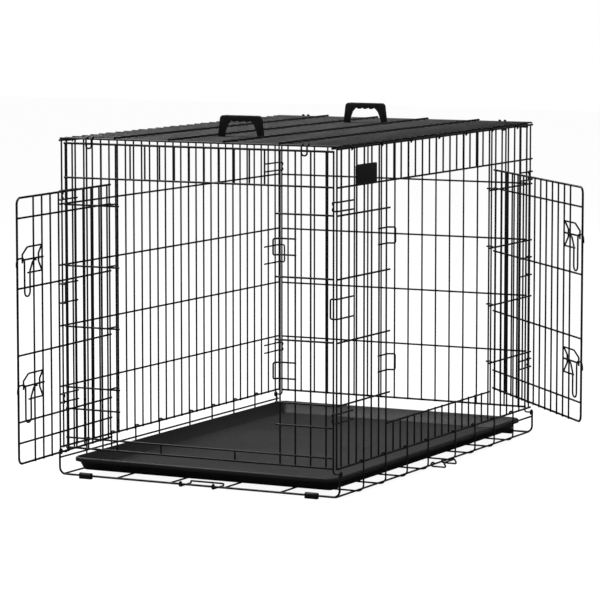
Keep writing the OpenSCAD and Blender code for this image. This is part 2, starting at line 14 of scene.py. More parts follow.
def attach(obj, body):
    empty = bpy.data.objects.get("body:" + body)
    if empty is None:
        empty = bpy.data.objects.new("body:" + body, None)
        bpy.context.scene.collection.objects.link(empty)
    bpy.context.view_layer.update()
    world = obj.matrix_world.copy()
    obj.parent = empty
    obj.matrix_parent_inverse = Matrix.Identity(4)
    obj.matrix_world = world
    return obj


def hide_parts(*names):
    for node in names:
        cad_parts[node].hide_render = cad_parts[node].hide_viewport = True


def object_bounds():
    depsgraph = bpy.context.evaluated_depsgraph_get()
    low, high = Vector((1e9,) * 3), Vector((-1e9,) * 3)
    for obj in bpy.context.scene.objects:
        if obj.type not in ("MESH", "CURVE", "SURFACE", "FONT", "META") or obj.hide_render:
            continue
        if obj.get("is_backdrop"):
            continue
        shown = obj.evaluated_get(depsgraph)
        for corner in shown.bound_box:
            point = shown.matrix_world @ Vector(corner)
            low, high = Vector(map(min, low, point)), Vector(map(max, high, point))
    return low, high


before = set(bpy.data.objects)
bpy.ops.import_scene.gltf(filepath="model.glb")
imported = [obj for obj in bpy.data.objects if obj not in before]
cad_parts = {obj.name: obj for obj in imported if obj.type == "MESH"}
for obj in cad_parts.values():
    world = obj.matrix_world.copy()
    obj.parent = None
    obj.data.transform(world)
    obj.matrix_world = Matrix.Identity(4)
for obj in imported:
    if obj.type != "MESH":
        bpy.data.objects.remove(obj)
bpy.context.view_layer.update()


def deselect():
    for thing in bpy.context.selected_objects:
        thing.select_set(False)


# %% [markdown]
# ## Sizes
# All lengths are in metres. They repeat the sizes of the CAD part, because the new wires lie where its
# solids lie. Only the four long wires of the top differ: here they lie above the cross wires, in the
# solids below them. `BAR`, `ROW` and `FRAME` are the radii of the three wires that the crate uses.
# A name that ends in `OUT` says how far a wire's centre stands out from its panel's upright bars.

# %% Sizes of the crate
MM = 0.001
BAR, ROW, FRAME = 2 * MM, 2.2 * MM, 2.5 * MM
WELD, GAP = 0.25 * MM, 0.35 * MM
PITCH, CORNER_CLEAR = 38 * MM, 20 * MM
HALF_L, HALF_W = 535 * MM, 350 * MM
TOP, END_TOP, FOOT = 774 * MM, 768 * MM, 70 * MM
HEADER, END_TAIL = 690 * MM, 2 * MM
END_Y, END_X = 533 * MM, 341 * MM
ROW_OUT = BAR + ROW - WELD
FRAME_OUT = BAR + FRAME - WELD
BESIDE = 2 * BAR - WELD
ROWS = [FOOT + i * (END_TOP - FOOT) / 5 for i in range(1, 5)]
CURL = FRAME + GAP + BAR
LIP_X = HALF_W + FRAME_OUT + CURL
EYE = BAR + GAP + FRAME
POST_Y = END_Y + EYE
FLOOR_Z = 7.3 * MM
CROSS_Z = FLOOR_Z - (ROW + BAR - WELD)
PIN_Z, LIP_Z = 58 * MM, 46 * MM
TOP_Z = TOP + CURL
FRONT_HALF, SIDE_HALF = 209 * MM, 285 * MM
FRONT_WIDE, SIDE_WIDE = 440 * MM, 592 * MM
DOOR_OUT = FRAME_OUT + 2 * FRAME + GAP
DOOR_BAR = DOOR_OUT - FRAME_OUT
DOOR_ROW = DOOR_BAR + ROW_OUT
HINGE = 2 * BAR + GAP
BOLT_OUT = DOOR_OUT + FRAME + GAP + ROW
OVER_OUT = BOLT_OUT + ROW + GAP + BAR
FRONT_LATCHES = (ROWS[0] + 58 * MM, ROWS[2] + 53.5 * MM)
SIDE_LATCHES = (ROWS[0] + 70 * MM, ROWS[2] + 78 * MM)
TRAY_X, TRAY_Y, TRAY_R = 340 * MM, 522 * MM, 30 * MM
TRAY_TOP, TRAY_Z, TRAY_T = 45 * MM, 14.5 * MM, 2.4 * MM
LONG_WIRES = (-210 * MM, -70 * MM, 70 * MM, 210 * MM)


def uprights(half):
    count = math.floor((half - CORNER_CLEAR) / PITCH + 0.5)
    return [(i - count + 0.5) * PITCH for i in range(2 * count)]


side_bars = (-HALF_L, *uprights(HALF_L), HALF_L)
print("bars on a side panel:", len(side_bars), "on an end panel:", len(uprights(HALF_W)) + 2)

# %% [markdown]
# ## Finishes
# The wires are steel with a black electro-coat: satin, with a slight orange peel and a duller bloom
# here and there. Noise drives the roughness and a shallow bump, at the real scale of about a
# millimetre. The pattern sits on Object coordinates, so it stays still when the crate moves.


# %% A helper for painted and moulded finishes
def finish(name, dark, light, rough, grain, depth, patch=14.0, shine=0.5):
    made = bpy.data.materials.new(name)
    made.use_nodes = True
    nodes, links = made.node_tree.nodes, made.node_tree.links
    shader = nodes["Principled BSDF"]
    place = nodes.new("ShaderNodeTexCoord")
    cloud = nodes.new("ShaderNodeTexNoise")
    cloud.inputs["Scale"].default_value = patch
    cloud.inputs["Detail"].default_value = 4
    tone = nodes.new("ShaderNodeValToRGB")
    tone.color_ramp.elements[0].position, tone.color_ramp.elements[1].position = 0.3, 0.72
    tone.color_ramp.elements[0].color = (*dark, 1)
    tone.color_ramp.elements[1].color = (*light, 1)
    sheen = nodes.new("ShaderNodeMapRange")
    sheen.inputs["From Min"].default_value, sheen.inputs["From Max"].default_value = 0.3, 0.7
    sheen.inputs["To Min"].default_value, sheen.inputs["To Max"].default_value = rough
    peel = nodes.new("ShaderNodeTexNoise")
    peel.inputs["Scale"].default_value = grain
    peel.inputs["Detail"].default_value = 3
    bump = nodes.new("ShaderNodeBump")
    bump.inputs["Strength"].default_value = 0.35
    bump.inputs["Distance"].default_value = depth
    links.new(place.outputs["Object"], cloud.inputs["Vector"])
    links.new(place.outputs["Object"], peel.inputs["Vector"])
    links.new(cloud.outputs["Fac"], tone.inputs["Fac"])
    links.new(tone.outputs["Color"], shader.inputs["Base Color"])
    links.new(cloud.outputs["Fac"], sheen.inputs["Value"])
    links.new(sheen.outputs["Result"], shader.inputs["Roughness"])
    links.new(peel.outputs["Fac"], bump.inputs["Height"])
    links.new(bump.outputs["Normal"], shader.inputs["Normal"])
    shader.inputs["Specular IOR Level"].default_value = shine
    return made


coated_wire = finish("coated_wire", (0.003, 0.003, 0.0033), (0.006, 0.006, 0.0066),
                     rough=(0.3, 0.44), grain=900, depth=0.0002, shine=0.4)
moulded_black = finish("moulded_black", (0.005, 0.005, 0.0053), (0.01, 0.01, 0.0105),
                       rough=(0.4, 0.55), grain=1400, depth=0.0003, shine=0.35)
tray_sheet = finish("tray_sheet", (0.016, 0.016, 0.0164), (0.026, 0.026, 0.0265),
                    rough=(0.4, 0.54), grain=1100, depth=0.0004, patch=5.0, shine=0.3)
print("finishes:", [m.name for m in (coated_wire, moulded_black, tray_sheet)])

# %% [markdown]
# ## Bending wire
# A wire is made the way a bender makes it. A disc is the cut end; extruding it along the axis gives a
# straight, and spinning it round a centre gives a bend. The spin operator counts clockwise round its
# axis, so the angle is negative. The finished run is one closed tube. Twelve sides are round enough at
# 4 mm across, because the shading is smooth.


# %% Helpers that make wire
def straight(start, end, radius, sides=12):
    start, end = Vector(start), Vector(end)
    along = end - start
    deselect()
    bpy.ops.mesh.primitive_cylinder_add(vertices=sides, radius=radius, depth=along.length,
                                        location=(start + end) / 2,
                                        rotation=along.to_track_quat("Z", "Y").to_euler())
    return bpy.context.object


def bent(points, radius, bend, sides=12, steps=6):
    points = [Vector(p) for p in points]
    along = (points[1] - points[0]).normalized()
    deselect()
    bpy.ops.mesh.primitive_circle_add(vertices=sides, radius=radius, fill_type="NGON", location=points[0],
                                      rotation=along.to_track_quat("Z", "Y").to_euler())
    bpy.ops.object.mode_set(mode="EDIT")
    bpy.ops.mesh.select_all(action="SELECT")
    here = points[0]
    for i in range(1, len(points)):
        along = (points[i] - points[i - 1]).normalized()
        stop = points[i]
        if i < len(points) - 1:
            onward = (points[i + 1] - points[i]).normalized()
            turn = along.angle(onward)
            stop = points[i] - along * bend * math.tan(turn / 2)
        bpy.ops.mesh.extrude_region_move(TRANSFORM_OT_translate={"value": stop - here})
        if i < len(points) - 1:
            axis = along.cross(onward).normalized()
            bpy.ops.mesh.spin(steps=steps, angle=-turn, center=stop + axis.cross(along) * bend, axis=axis)
            here = points[i] + onward * bend * math.tan(turn / 2)
    bpy.ops.object.mode_set(mode="OBJECT")
    return bpy.context.object


def ring(centre, start, toward, swing, radius, degrees, sides=12, steps=12):
    """An open eye: it starts on the side that `start` points to and sets off along `toward`."""
    centre, start, toward = Vector(centre), Vector(start), Vector(toward)
    deselect()
    bpy.ops.mesh.primitive_circle_add(vertices=sides, radius=radius, fill_type="NGON",
                                      location=centre + start * swing,
                                      rotation=toward.to_track_quat("Z", "Y").to_euler())
    bpy.ops.object.mode_set(mode="EDIT")
    bpy.ops.mesh.select_all(action="SELECT")
    bpy.ops.mesh.spin(steps=steps, angle=-math.radians(degrees), center=centre, axis=start.cross(toward))
    bpy.ops.object.mode_set(mode="OBJECT")
    return bpy.context.object


# %% [markdown]
# Wires of one panel are welded into one piece. `welded` joins them, rounds every sharp edge, such as
# the rim of a cut end, with a small bevel, shades the tubes smooth, names the piece, and puts it in
# place of the CAD node it stands for. A panel can be drawn flat, facing +Y, and then turned onto its
# side of the crate, so `turned` gives the matrix for each side.


# %% Join wires into a finished piece
CUT_ROUND = 0.4 * MM
SHARP, SMOOTH = math.radians(60), math.radians(40)


def welded(wires, name, body, node, stand=None, material=None):
    deselect()
    for w in wires:
        w.select_set(True)
    bpy.context.view_layer.objects.active = wires[0]
    bpy.ops.object.transform_apply(location=True, rotation=True, scale=True)
    if len(wires) > 1:
        bpy.ops.object.join()
    piece = bpy.context.object
    if stand is not None:
        piece.matrix_world = stand
        bpy.ops.object.transform_apply(location=True, rotation=True, scale=True)
    bpy.ops.object.mode_set(mode="EDIT")
    bpy.ops.mesh.select_all(action="SELECT")
    bpy.ops.mesh.normals_make_consistent(inside=False)
    bpy.ops.mesh.select_all(action="DESELECT")
    bpy.ops.mesh.select_mode(type="EDGE")
    bpy.ops.mesh.edges_select_sharp(sharpness=SHARP)
    bpy.ops.mesh.bevel(offset=CUT_ROUND, segments=2, affect="EDGES")
    bpy.ops.mesh.select_mode(type="VERT")
    bpy.ops.object.mode_set(mode="OBJECT")
    bpy.ops.object.shade_smooth_by_angle(angle=SMOOTH)
    piece.name = piece.data.name = name
    piece.data.materials.clear()
    piece.data.materials.append(material or coated_wire)
    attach(piece, body)
    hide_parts(node)
    print(name, len(piece.data.polygons), "faces")


def turned(degrees, distance):
    return Matrix.Rotation(math.radians(degrees), 4, "Z") @ Matrix.Translation((0, distance, 0))


FRONT, BACK = turned(180, END_Y), turned(0, END_Y)
RIGHT, LEFT = turned(-90, HALF_W), turned(90, HALF_W)

# %% [markdown]
# ## Floor, light and camera
# A pale floor fades into a white surround. A wide soft key hangs overhead, to the left of the crate, so
# the tops of the cross wires and the tray's rim catch it, while the uprights and the inside of the
# tray's left wall stay dark. A weak fill opens the right side, and a small light behind on the left
# grazes the top. The camera looks down slightly on the front right corner, and a long lens keeps the
# uprights nearly parallel.

# %% Floor and surround
deselect()
bpy.ops.mesh.primitive_grid_add(x_subdivisions=8, y_subdivisions=8, size=30, location=(0, 0, 0))
floor = bpy.context.object
floor.name = "studio_floor"
pale = bpy.data.materials.new("pale_floor")
pale.use_nodes = True
tree = pale.node_tree
matte = tree.nodes["Principled BSDF"]
matte.inputs["Base Color"].default_value = (0.14, 0.14, 0.14, 1)
matte.inputs["Roughness"].default_value = 0.7
glow = tree.nodes.new("ShaderNodeEmission")
glow.inputs["Color"].default_value = (1, 1, 1, 1)
glow.inputs["Strength"].default_value = 0.94
both = tree.nodes.new("ShaderNodeAddShader")
seen = tree.nodes.new("ShaderNodeLightPath")
pick = tree.nodes.new("ShaderNodeMixShader")
tree.links.new(matte.outputs[0], both.inputs[0])
tree.links.new(glow.outputs[0], both.inputs[1])
tree.links.new(seen.outputs["Is Camera Ray"], pick.inputs["Fac"])
tree.links.new(matte.outputs[0], pick.inputs[1])
tree.links.new(both.outputs[0], pick.inputs[2])
tree.links.new(pick.outputs[0], tree.nodes["Material Output"].inputs["Surface"])
floor.data.materials.append(pale)
floor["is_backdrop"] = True

world = bpy.data.worlds.new("studio")
bpy.context.scene.world = world
world.use_nodes = True
sky = world.node_tree
dim = sky.nodes["Background"]
dim.inputs["Color"].default_value = (1, 1, 1, 1)
dim.inputs["Strength"].default_value = 0.16
white = sky.nodes.new("ShaderNodeBackground")
white.inputs["Color"].default_value = (1, 1, 1, 1)
white.inputs["Strength"].default_value = 1.0
path = sky.nodes.new("ShaderNodeLightPath")
pick = sky.nodes.new("ShaderNodeMixShader")
sky.links.new(path.outputs["Is Camera Ray"], pick.inputs["Fac"])
sky.links.new(dim.outputs[0], pick.inputs[1])
sky.links.new(white.outputs[0], pick.inputs[2])
sky.links.new(pick.outputs[0], sky.nodes["World Output"].inputs["Surface"])
print("surround:", floor.name, world.name)


# %% Lamps
def softbox(name, place, target, size, power):
    bpy.ops.object.light_add(type="AREA", location=place)
    lamp = bpy.context.object
    lamp.name = name
    lamp.data.shape = "RECTANGLE"
    lamp.data.size, lamp.data.size_y = size
    lamp.data.energy = power
    lamp.rotation_euler = (Vector(target) - Vector(place)).to_track_quat("-Z", "Y").to_euler()
    print(name, power, "W")


softbox("key_light", (-1.7, -0.3, 4.0), (0, 0, 0.3), (3.4, 3.4), 220)
softbox("fill_light", (3.8, -2.2, 2.6), (0, 0, 0.4), (2.5, 2.5), 20)
softbox("back_light", (-4.2, 3.4, 2.4), (0, 0, 0.6), (2.4, 1.2), 30)

# %% Camera
LOOK_DOWN, LOOK_ROUND = math.radians(6.338), math.radians(27.171)
bpy.ops.object.camera_add(location=(3.4783, -6.8055, 1.2224))
camera = bpy.context.object
camera.name = "studio_camera"
camera.rotation_euler = (math.radians(90) - LOOK_DOWN, 0, LOOK_ROUND)
camera.data.lens = 193.54
camera.data.sensor_width = 36
camera.data.clip_end = 60
bpy.context.scene.camera = camera
bpy.context.scene.view_settings.view_transform = "Standard"
print("camera", [round(v, 3) for v in camera.location], "lens", camera.data.lens)

# %% [markdown]
# ## The wire panels
# A side panel is a ladder: uprights inside, rows outside, and a thicker wire along the foot and the
# top. It is drawn flat, facing +Y, and turned onto its side. Where there is a doorway the uprights stop
# at the header and start again at the sill, and the rows end in short stubs that stop the shut door.


# %% Side panels
def upright(x, low, high):
    return straight((x, 0, low), (x, 0, high), BAR)


def row(start, end, z, out=ROW_OUT, radius=ROW):
    return straight((start, out, z), (end, out, z), radius)


def full_rows(half):
    wires = [row(-half, half, z) for z in ROWS]
    return wires + [row(-half, half, z, FRAME_OUT, FRAME) for z in (FOOT, TOP)]


wires = [upright(x, FOOT - END_TAIL, TOP + MM) for x in side_bars]
wires += full_rows(HALF_L + END_TAIL)
welded(wires, "left_side_wires", "cage", "left_panel", LEFT)

SIDE_SILL = FOOT + 70 * MM
STUB = 10 * MM
wires = []
for x in side_bars:
    if abs(x) < SIDE_HALF - PITCH / 2:
        wires.append(upright(x, HEADER - END_TAIL, TOP + MM))
        wires.append(upright(x, FOOT - END_TAIL, SIDE_SILL + END_TAIL))
    else:
        wires.append(upright(x, FOOT - END_TAIL, TOP + MM))
end = HALF_L + END_TAIL
wires.append(row(-end, end, HEADER))
wires.append(row(-SIDE_HALF - STUB / 2, SIDE_HALF + STUB / 2, SIDE_SILL))
for z in ROWS:
    wires += [row(-end, -SIDE_HALF + STUB, z), row(SIDE_HALF - STUB, end, z)]
wires += [row(-end, end, z, FRAME_OUT, FRAME) for z in (FOOT, TOP)]
welded(wires, "right_side_wires", "cage", "right_panel", RIGHT)

# %% [markdown]
# An end panel stands between the side panels. Its two outer bars are longer: they run down past the
# foot wire and bend outwards into the pins that the panel folds on.


# %% End panels
def pin_bar(side):
    return bent([(side * END_X, 0, END_TOP + END_TAIL), (side * END_X, 0, PIN_Z),
                 (side * (LIP_X + FRAME + END_TAIL), 0, PIN_Z)], BAR, 6 * MM)


end = END_X + MM
wires = [pin_bar(-1), pin_bar(1)]
wires += [upright(x, FOOT - END_TAIL, END_TOP + END_TAIL) for x in uprights(HALF_W)]
wires += [row(-end, end, z) for z in ROWS]
wires += [row(-end, end, z, FRAME_OUT, FRAME) for z in (FOOT, END_TOP)]
welded(wires, "back_end_wires", "back_end", "back_panel", BACK)

FRONT_SILL, SHORT_ROW = FOOT + 23 * MM, FOOT + 90 * MM
wires = [pin_bar(-1), pin_bar(1)]
for x in uprights(HALF_W):
    inside = abs(x) < FRONT_HALF - PITCH / 2
    wires.append(upright(x, HEADER - END_TAIL if inside else FOOT - END_TAIL, END_TOP + END_TAIL))
wires += [upright(x, FOOT - END_TAIL, FRONT_SILL + END_TAIL) for x in (-2.5 * PITCH, 2.5 * PITCH)]
wires += [row(-end, end, z) for z in (HEADER, FRONT_SILL)]
for z in (*ROWS, SHORT_ROW):
    wires += [row(-end, -FRONT_HALF + STUB, z), row(FRONT_HALF - STUB, end, z)]
wires += [row(-end, end, z, FRAME_OUT, FRAME) for z in (FOOT, END_TOP)]
welded(wires, "front_end_wires", "front_end", "front_panel", FRONT)

# %% [markdown]
# The top is the same weave laid flat: many cross wires, held from above by four long ones and from
# below by the two edge wires. Every fourth cross wire is left longer and curled over the side panels'
# top wire, which makes the hinge of the real crate.

# %% Top panel
wires = []
spots = [-HALF_L, HALF_L, *uprights(HALF_L)]
for i, y in enumerate(spots):
    curled = i % 4 == 3
    reach = HALF_W + FRAME_OUT if curled else HALF_W + 2 * END_TAIL
    wires.append(straight((-reach, y, TOP_Z), (reach, y, TOP_Z), BAR))
    if curled:
        for side in (-1, 1):
            wires.append(ring((side * reach, y, TOP), (0, 0, 1), (side, 0, 0),
                              CURL, BAR, 165, steps=9))
end, edge_x = HALF_L + END_TAIL, END_X - 2 * MM
for x in (-edge_x, edge_x):
    wires.append(straight((x, -end, TOP_Z - FRAME_OUT), (x, end, TOP_Z - FRAME_OUT), FRAME))
for x in LONG_WIRES:
    wires.append(straight((x, -end, TOP_Z + ROW_OUT), (x, end, TOP_Z + ROW_OUT), ROW))
welded(wires, "top_wires", "cage", "top_panel")

# %% [markdown]
# ## The base
# The floor grid carries everything. Its two end wires turn up at the corners into posts, whose tops
# curl into eyes round the end panels' pins. Eight cross wires turn up into a lip at each side and curl
# over the side panels' foot wires.

# %% Floor grid
CROSS_Y = (76 * MM, 190 * MM, 304 * MM, 418 * MM)
POST_BEND = 15 * MM
wires = []
for end in (-1, 1):
    y = end * POST_Y
    wires.append(bent([(-LIP_X, y, PIN_Z), (-LIP_X, y, FLOOR_Z),
                       (LIP_X, y, FLOOR_Z), (LIP_X, y, PIN_Z)], FRAME, POST_BEND))
    for side in (-1, 1):
        wires.append(ring((side * LIP_X, end * END_Y, PIN_Z), (0, end, 0), (0, 0, 1),
                          EYE, FRAME, 265))
for away in CROSS_Y:
    for y in (-away, away):
        wires.append(bent([(-LIP_X, y, FOOT), (-LIP_X, y, CROSS_Z),
                           (LIP_X, y, CROSS_Z), (LIP_X, y, FOOT)], BAR, POST_BEND))
        for side in (-1, 1):
            wires.append(ring((side * (HALF_W + FRAME_OUT), y, FOOT), (side, 0, 0), (0, 0, 1),
                              CURL, BAR, 180, steps=9))
for side in (-1, 1):
    x = side * HALF_W
    wires.append(straight((x, -POST_Y, FLOOR_Z), (x, POST_Y, FLOOR_Z), ROW))
    x, reach = side * (LIP_X - ROW_OUT), POST_Y + END_TAIL
    wires.append(straight((x, -reach, LIP_Z), (x, reach, LIP_Z), ROW))
for x in LONG_WIRES:
    wires.append(straight((x, -POST_Y, CROSS_Z + BESIDE), (x, POST_Y, CROSS_Z + BESIDE), BAR))
welded(wires, "floor_wires", "cage", "base_grid")

# %% [markdown]
# ## The doors
# A door is one thick wire bent round three sides. Its uprights are welded on the inner side, and its
# rows cross them in the plane of the thick wire. At the hinge four wires end in eyes that turn on the
# doorway's jamb bar. Each door is drawn shut, with its hinge at the origin, and then placed open by a
# matrix. `hand` is which side of the door faces out, and `extra` holds the rows that only one door has.


# %% Doors
FRONT_OPEN, SIDE_OPEN = 87, 43.5
DOOR_LIFT = 10 * MM


def door(wide, foot, hand, extra):
    top, near, first, last = HEADER - 12 * MM, 8 * MM, 33 * MM, wide - 65 * MM
    out, bar_y, row_y, eye_y = (hand * y for y in (DOOR_OUT, DOOR_BAR, DOOR_ROW, HINGE))
    wires = [bent([(near, out, top), (wide, out, top), (wide, out, foot), (near, out, foot)],
                  FRAME, 14 * MM, steps=8)]
    bars = round((last - first) / PITCH) + 1
    for i in range(bars):
        x = first + i * PITCH
        wires.append(straight((x, bar_y, foot - END_TAIL), (x, bar_y, top + END_TAIL), BAR))
    rows = [ROWS[3] + 6 * MM] + [ROWS[i] - (6 + 5 * (2 - i)) * MM for i in range(3)]
    for z in rows + extra:
        wires.append(straight((near, row_y, z), (wide, row_y, z), ROW))
    for z in ROWS:
        z += ROW + BAR + GAP
        wires.append(straight((0, eye_y, z), (first + BAR, eye_y, z), BAR))
        wires.append(ring((0, 0, z), (0, hand, 0), (-1, 0, 0), HINGE, BAR, 265))
    return wires


def hung(x, y, degrees):
    return Matrix.Translation((x, y, 0)) @ Matrix.Rotation(math.radians(degrees), 4, "Z")


FRONT_DOOR = hung(-FRONT_HALF, -END_Y, -FRONT_OPEN)
SIDE_DOOR = hung(HALF_W, SIDE_HALF, SIDE_OPEN - 90)
welded(door(FRONT_WIDE, FRONT_SILL + DOOR_LIFT, -1, [FRONT_SILL + 55 * MM]), "front_door_wires",
       "front_gate", "front_door", FRONT_DOOR)
welded(door(SIDE_WIDE, SIDE_SILL + DOOR_LIFT, 1, []), "side_door_wires", "side_gate", "side_door",
       SIDE_DOOR)

# %% [markdown]
# ## Latches, keepers and hooks
# These are the crate's small wire forms. The bracket is welded across two door bars and arches over
# the bolt's rod. The bolt's rod, hook and finger loop slide in it. The keeper stands out beside the
# doorway, and the hook of a shut bolt lies behind its outer wire.


# %% Brackets and bolts
def bracket(wide, z, hand):
    inner, outer = wide - 112 * MM, wide - 40 * MM
    low, high = hand * (DOOR_BAR + BESIDE), hand * OVER_OUT
    top, bottom = z + 28 * MM, z - 28 * MM
    return [bent([(outer, high, z - 8 * MM), (outer, high, z + 11 * MM),
                  (outer - 4 * MM, low, top), (inner + 4 * MM, low, top),
                  (inner, high, z + 9 * MM), (inner, high, z - 9 * MM),
                  (inner + 4 * MM, low, bottom), (outer - 5 * MM, low, bottom)], BAR, 4 * MM)]


def bolt(wide, z, hand):
    y, tip = hand * BOLT_OUT, wide - 6 * MM
    leg = tip - 35 * MM
    back = leg - 24 * MM
    over, loop_end, under = z + 4 * MM, z - 80 * MM, z - ROW - BAR + WELD
    return [straight((back - 59 * MM, y, z), (leg + 5 * MM, y, z), ROW),
            bent([(tip, y, z - 14 * MM), (tip, y, over), (leg, y, over), (leg, y, loop_end),
                  (back, y, loop_end), (back, y, z - 26 * MM), (back - 14 * MM, y, under),
                  (back - 28 * MM, y, under)], BAR, 11 * MM, steps=8)]


for place, wide, hand, stand, heights in (("front", FRONT_WIDE, -1, FRONT_DOOR, FRONT_LATCHES),
                                          ("side", SIDE_WIDE, 1, SIDE_DOOR, SIDE_LATCHES)):
    for level, rank, z in zip(("lower", "upper"), ("low", "high"), heights):
        welded(bracket(wide, z, hand), f"{place}_{level}_bracket_wire", f"{place}_gate",
               f"{place}_{level}_bracket", stand)
        welded(bolt(wide, z, hand), f"{place}_{level}_bolt_wire", f"{place}_bolt_{rank}",
               f"{place}_{level}_bolt", stand)


# %% Keepers
def keeper(jamb, side, z, past):
    tail, tip = jamb + side * (PITCH + past), jamb - side * (5 * MM + BAR)
    high, low = z + 18 * MM, z - 18 * MM
    return bent([(tail, BESIDE, high), (jamb, BESIDE, high), (tip, OVER_OUT, high),
                 (tip, OVER_OUT, low), (jamb, BESIDE, low), (tail, BESIDE, low)], BAR, 4 * MM)


front_keepers = [keeper(-FRONT_HALF, -1, z + 13.5 * MM, 4 * MM) for z in FRONT_LATCHES]
welded(front_keepers, "front_keeper_wires", "front_end", "front_keepers", FRONT)
side_keepers = [keeper(SIDE_HALF, 1, z, 11 * MM) for z in SIDE_LATCHES]
welded(side_keepers, "side_keeper_wires", "cage", "side_keepers", RIGHT)

# %% [markdown]
# At each corner two snap hooks and a taller guard loop reach round from the side panel and hold the
# end panel's outer bar. The closed end of a snap hook is bent to a notch, which makes it click.

# %% Corner hooks
HOOK_Y = END_Y + ROW_OUT + ROW + GAP + BAR
HOOK_TAIL = HALF_L - 74 * MM


def snap_hook(end, z):
    tail, tip, y = end * HOOK_TAIL, end * HOOK_Y, BESIDE - 13 * MM
    half = 10 * MM
    return bent([(tail, BESIDE, z + half), (tip, BESIDE, z + half), (tip, y, z + half),
                 (tip, y + 5 * MM, z), (tip, y, z - half), (tip, BESIDE, z - half),
                 (tail, BESIDE, z - half)], BAR, 3 * MM)


def guard_loop(end, z):
    tail, tip, y = end * HOOK_TAIL, end * HOOK_Y, BESIDE - 16 * MM
    half = 22 * MM
    return bent([(tail, BESIDE, z + half), (tip, BESIDE, z + half), (tip, y, z + half), (tip, y, z - half),
                 (tip, BESIDE, z - half), (tail, BESIDE, z - half)], BAR, 4 * MM)


for side, stand in (("left", LEFT), ("right", RIGHT)):
    hooks = [snap_hook(end, z) for end in (-1, 1) for z in (ROWS[0] - 27.5 * MM, ROWS[3] + 20 * MM)]
    welded(hooks, f"{side}_snap_hook_wires", "cage", f"{side}_snap_hooks", stand)
    loops = [guard_loop(end, (ROWS[1] + ROWS[2]) / 2 + 5 * MM) for end in (-1, 1)]
    welded(loops, f"{side}_guard_loop_wires", "cage", f"{side}_guard_loops", stand)

# %% Hooks that hang from the top
TOP_HOOK_X = 7.2 * PITCH
for name, end in (("front", -1), ("rear", 1)):
    y = end * (END_Y + FRAME_OUT + FRAME + GAP + BAR)
    z, low = TOP_Z + BESIDE, END_TOP - 4 * FRAME
    start = end * (HALF_L - 3 * MM)
    hooks = []
    for x in (-TOP_HOOK_X, TOP_HOOK_X):
        left, right = x - 7 * MM, x + 7 * MM
        hooks.append(bent([(left, start, z), (left, y, z), (left, y, low),
                           (right, y, low), (right, y, z), (right, start, z)], BAR, 6 * MM))
    welded(hooks, f"{name}_top_hook_wires", "cage", f"{name}_top_hooks")


# %% [markdown]
# ## Pan stops
# A pan stop is a loop of wire with an eye at each leg. The front one lies under the tray, the side one
# lies out on the floor beside its doorway.


# %% Pan stops
def pan_stop(wide, long, eye, lift):
    half, tip = wide / 2, long - 6 * MM
    wires = [ring((side * half, 0, 0), (0, 0, -1), (0, -1, 0), eye, BAR, 265) for side in (-1, 1)]
    wires.append(bent([(-half, 0, -eye), (-half, long, -eye), (-half, tip, lift), (half, tip, lift),
                       (half, long, -eye), (half, 0, -eye)], BAR, 2.5 * MM))
    return wires


welded(pan_stop(84 * MM, 54 * MM, FRAME + GAP + BAR, 0), "front_pan_stop_wire", "pan_latch_front",
       "front_pan_stop", Matrix.Translation((0, -POST_Y, FLOOR_Z)))
welded(pan_stop(60 * MM, 34 * MM, ROW + GAP + BAR, 6 * MM), "side_pan_stop_wire",
       "pan_latch_side", "side_pan_stop",
       Matrix.Translation((HALF_W, 0, FLOOR_Z)) @ Matrix.Rotation(math.radians(-90), 4, "Z"))

# %% [markdown]
# ## The tray
# The tray is vacuum-formed sheet: a flat floor, walls that lean out, a rolled rim and a short skirt. It
# grows from one rectangle. Bevelling the four vertices rounds the corners, extruding gives the skirt,
# and each inset with a depth adds the next step of the section, inwards and up or down. Turning the
# bottom face into the underside takes the same steps, listed as pairs in millimetres. Two pressed
# runners under the floor carry the tray over the pan stop and the foot sleeves.

# %% Tray
SKIRT, SKIRT_STRAIGHT, HOLLOW = 10 * MM, 5 * MM, 7.6 * MM
UPPER_STEPS = ((0.38, 1.91), (1.08, 1.63), (1.63, 1.08), (1.91, 0.38), (1.3, -0.6), (1, -1.8),
               (16.3, -24.5), (2.4, -1.2))
LOWER_STEPS = ((3.1, 0), (14, 26.6), (2.5, 1.5))
FACING_DOWN = -0.9
deselect()
bpy.ops.mesh.primitive_plane_add(size=1, location=(0, 0, TRAY_TOP - SKIRT))
tray = bpy.context.object
tray.scale = (2 * TRAY_X, 2 * TRAY_Y, 1)
bpy.ops.object.transform_apply(location=True, rotation=True, scale=True)
bpy.ops.object.mode_set(mode="EDIT")
bpy.ops.mesh.select_all(action="SELECT")
bpy.ops.mesh.bevel(offset=TRAY_R, segments=10, affect="VERTICES")
bpy.ops.mesh.select_all(action="SELECT")
bpy.ops.mesh.extrude_region_move(TRANSFORM_OT_translate={"value": (0, 0, SKIRT_STRAIGHT)})
for inwards, upwards in UPPER_STEPS:
    bpy.ops.mesh.inset(thickness=inwards * MM, depth=upwards * MM)
bpy.ops.mesh.select_all(action="SELECT")
bpy.ops.mesh.normals_make_consistent(inside=False)
bpy.ops.mesh.select_mode(type="FACE")
bpy.ops.mesh.select_all(action="DESELECT")
bpy.ops.object.mode_set(mode="OBJECT")
for face in tray.data.polygons:
    face.select = face.normal.z < FACING_DOWN
bpy.ops.object.mode_set(mode="EDIT")
bpy.ops.mesh.inset(thickness=TRAY_T, depth=0)
bpy.ops.mesh.extrude_region_move(TRANSFORM_OT_translate={"value": (0, 0, HOLLOW)})
for inwards, downwards in LOWER_STEPS:
    bpy.ops.mesh.inset(thickness=inwards * MM, depth=downwards * MM)
bpy.ops.mesh.select_mode(type="VERT")
bpy.ops.object.mode_set(mode="OBJECT")


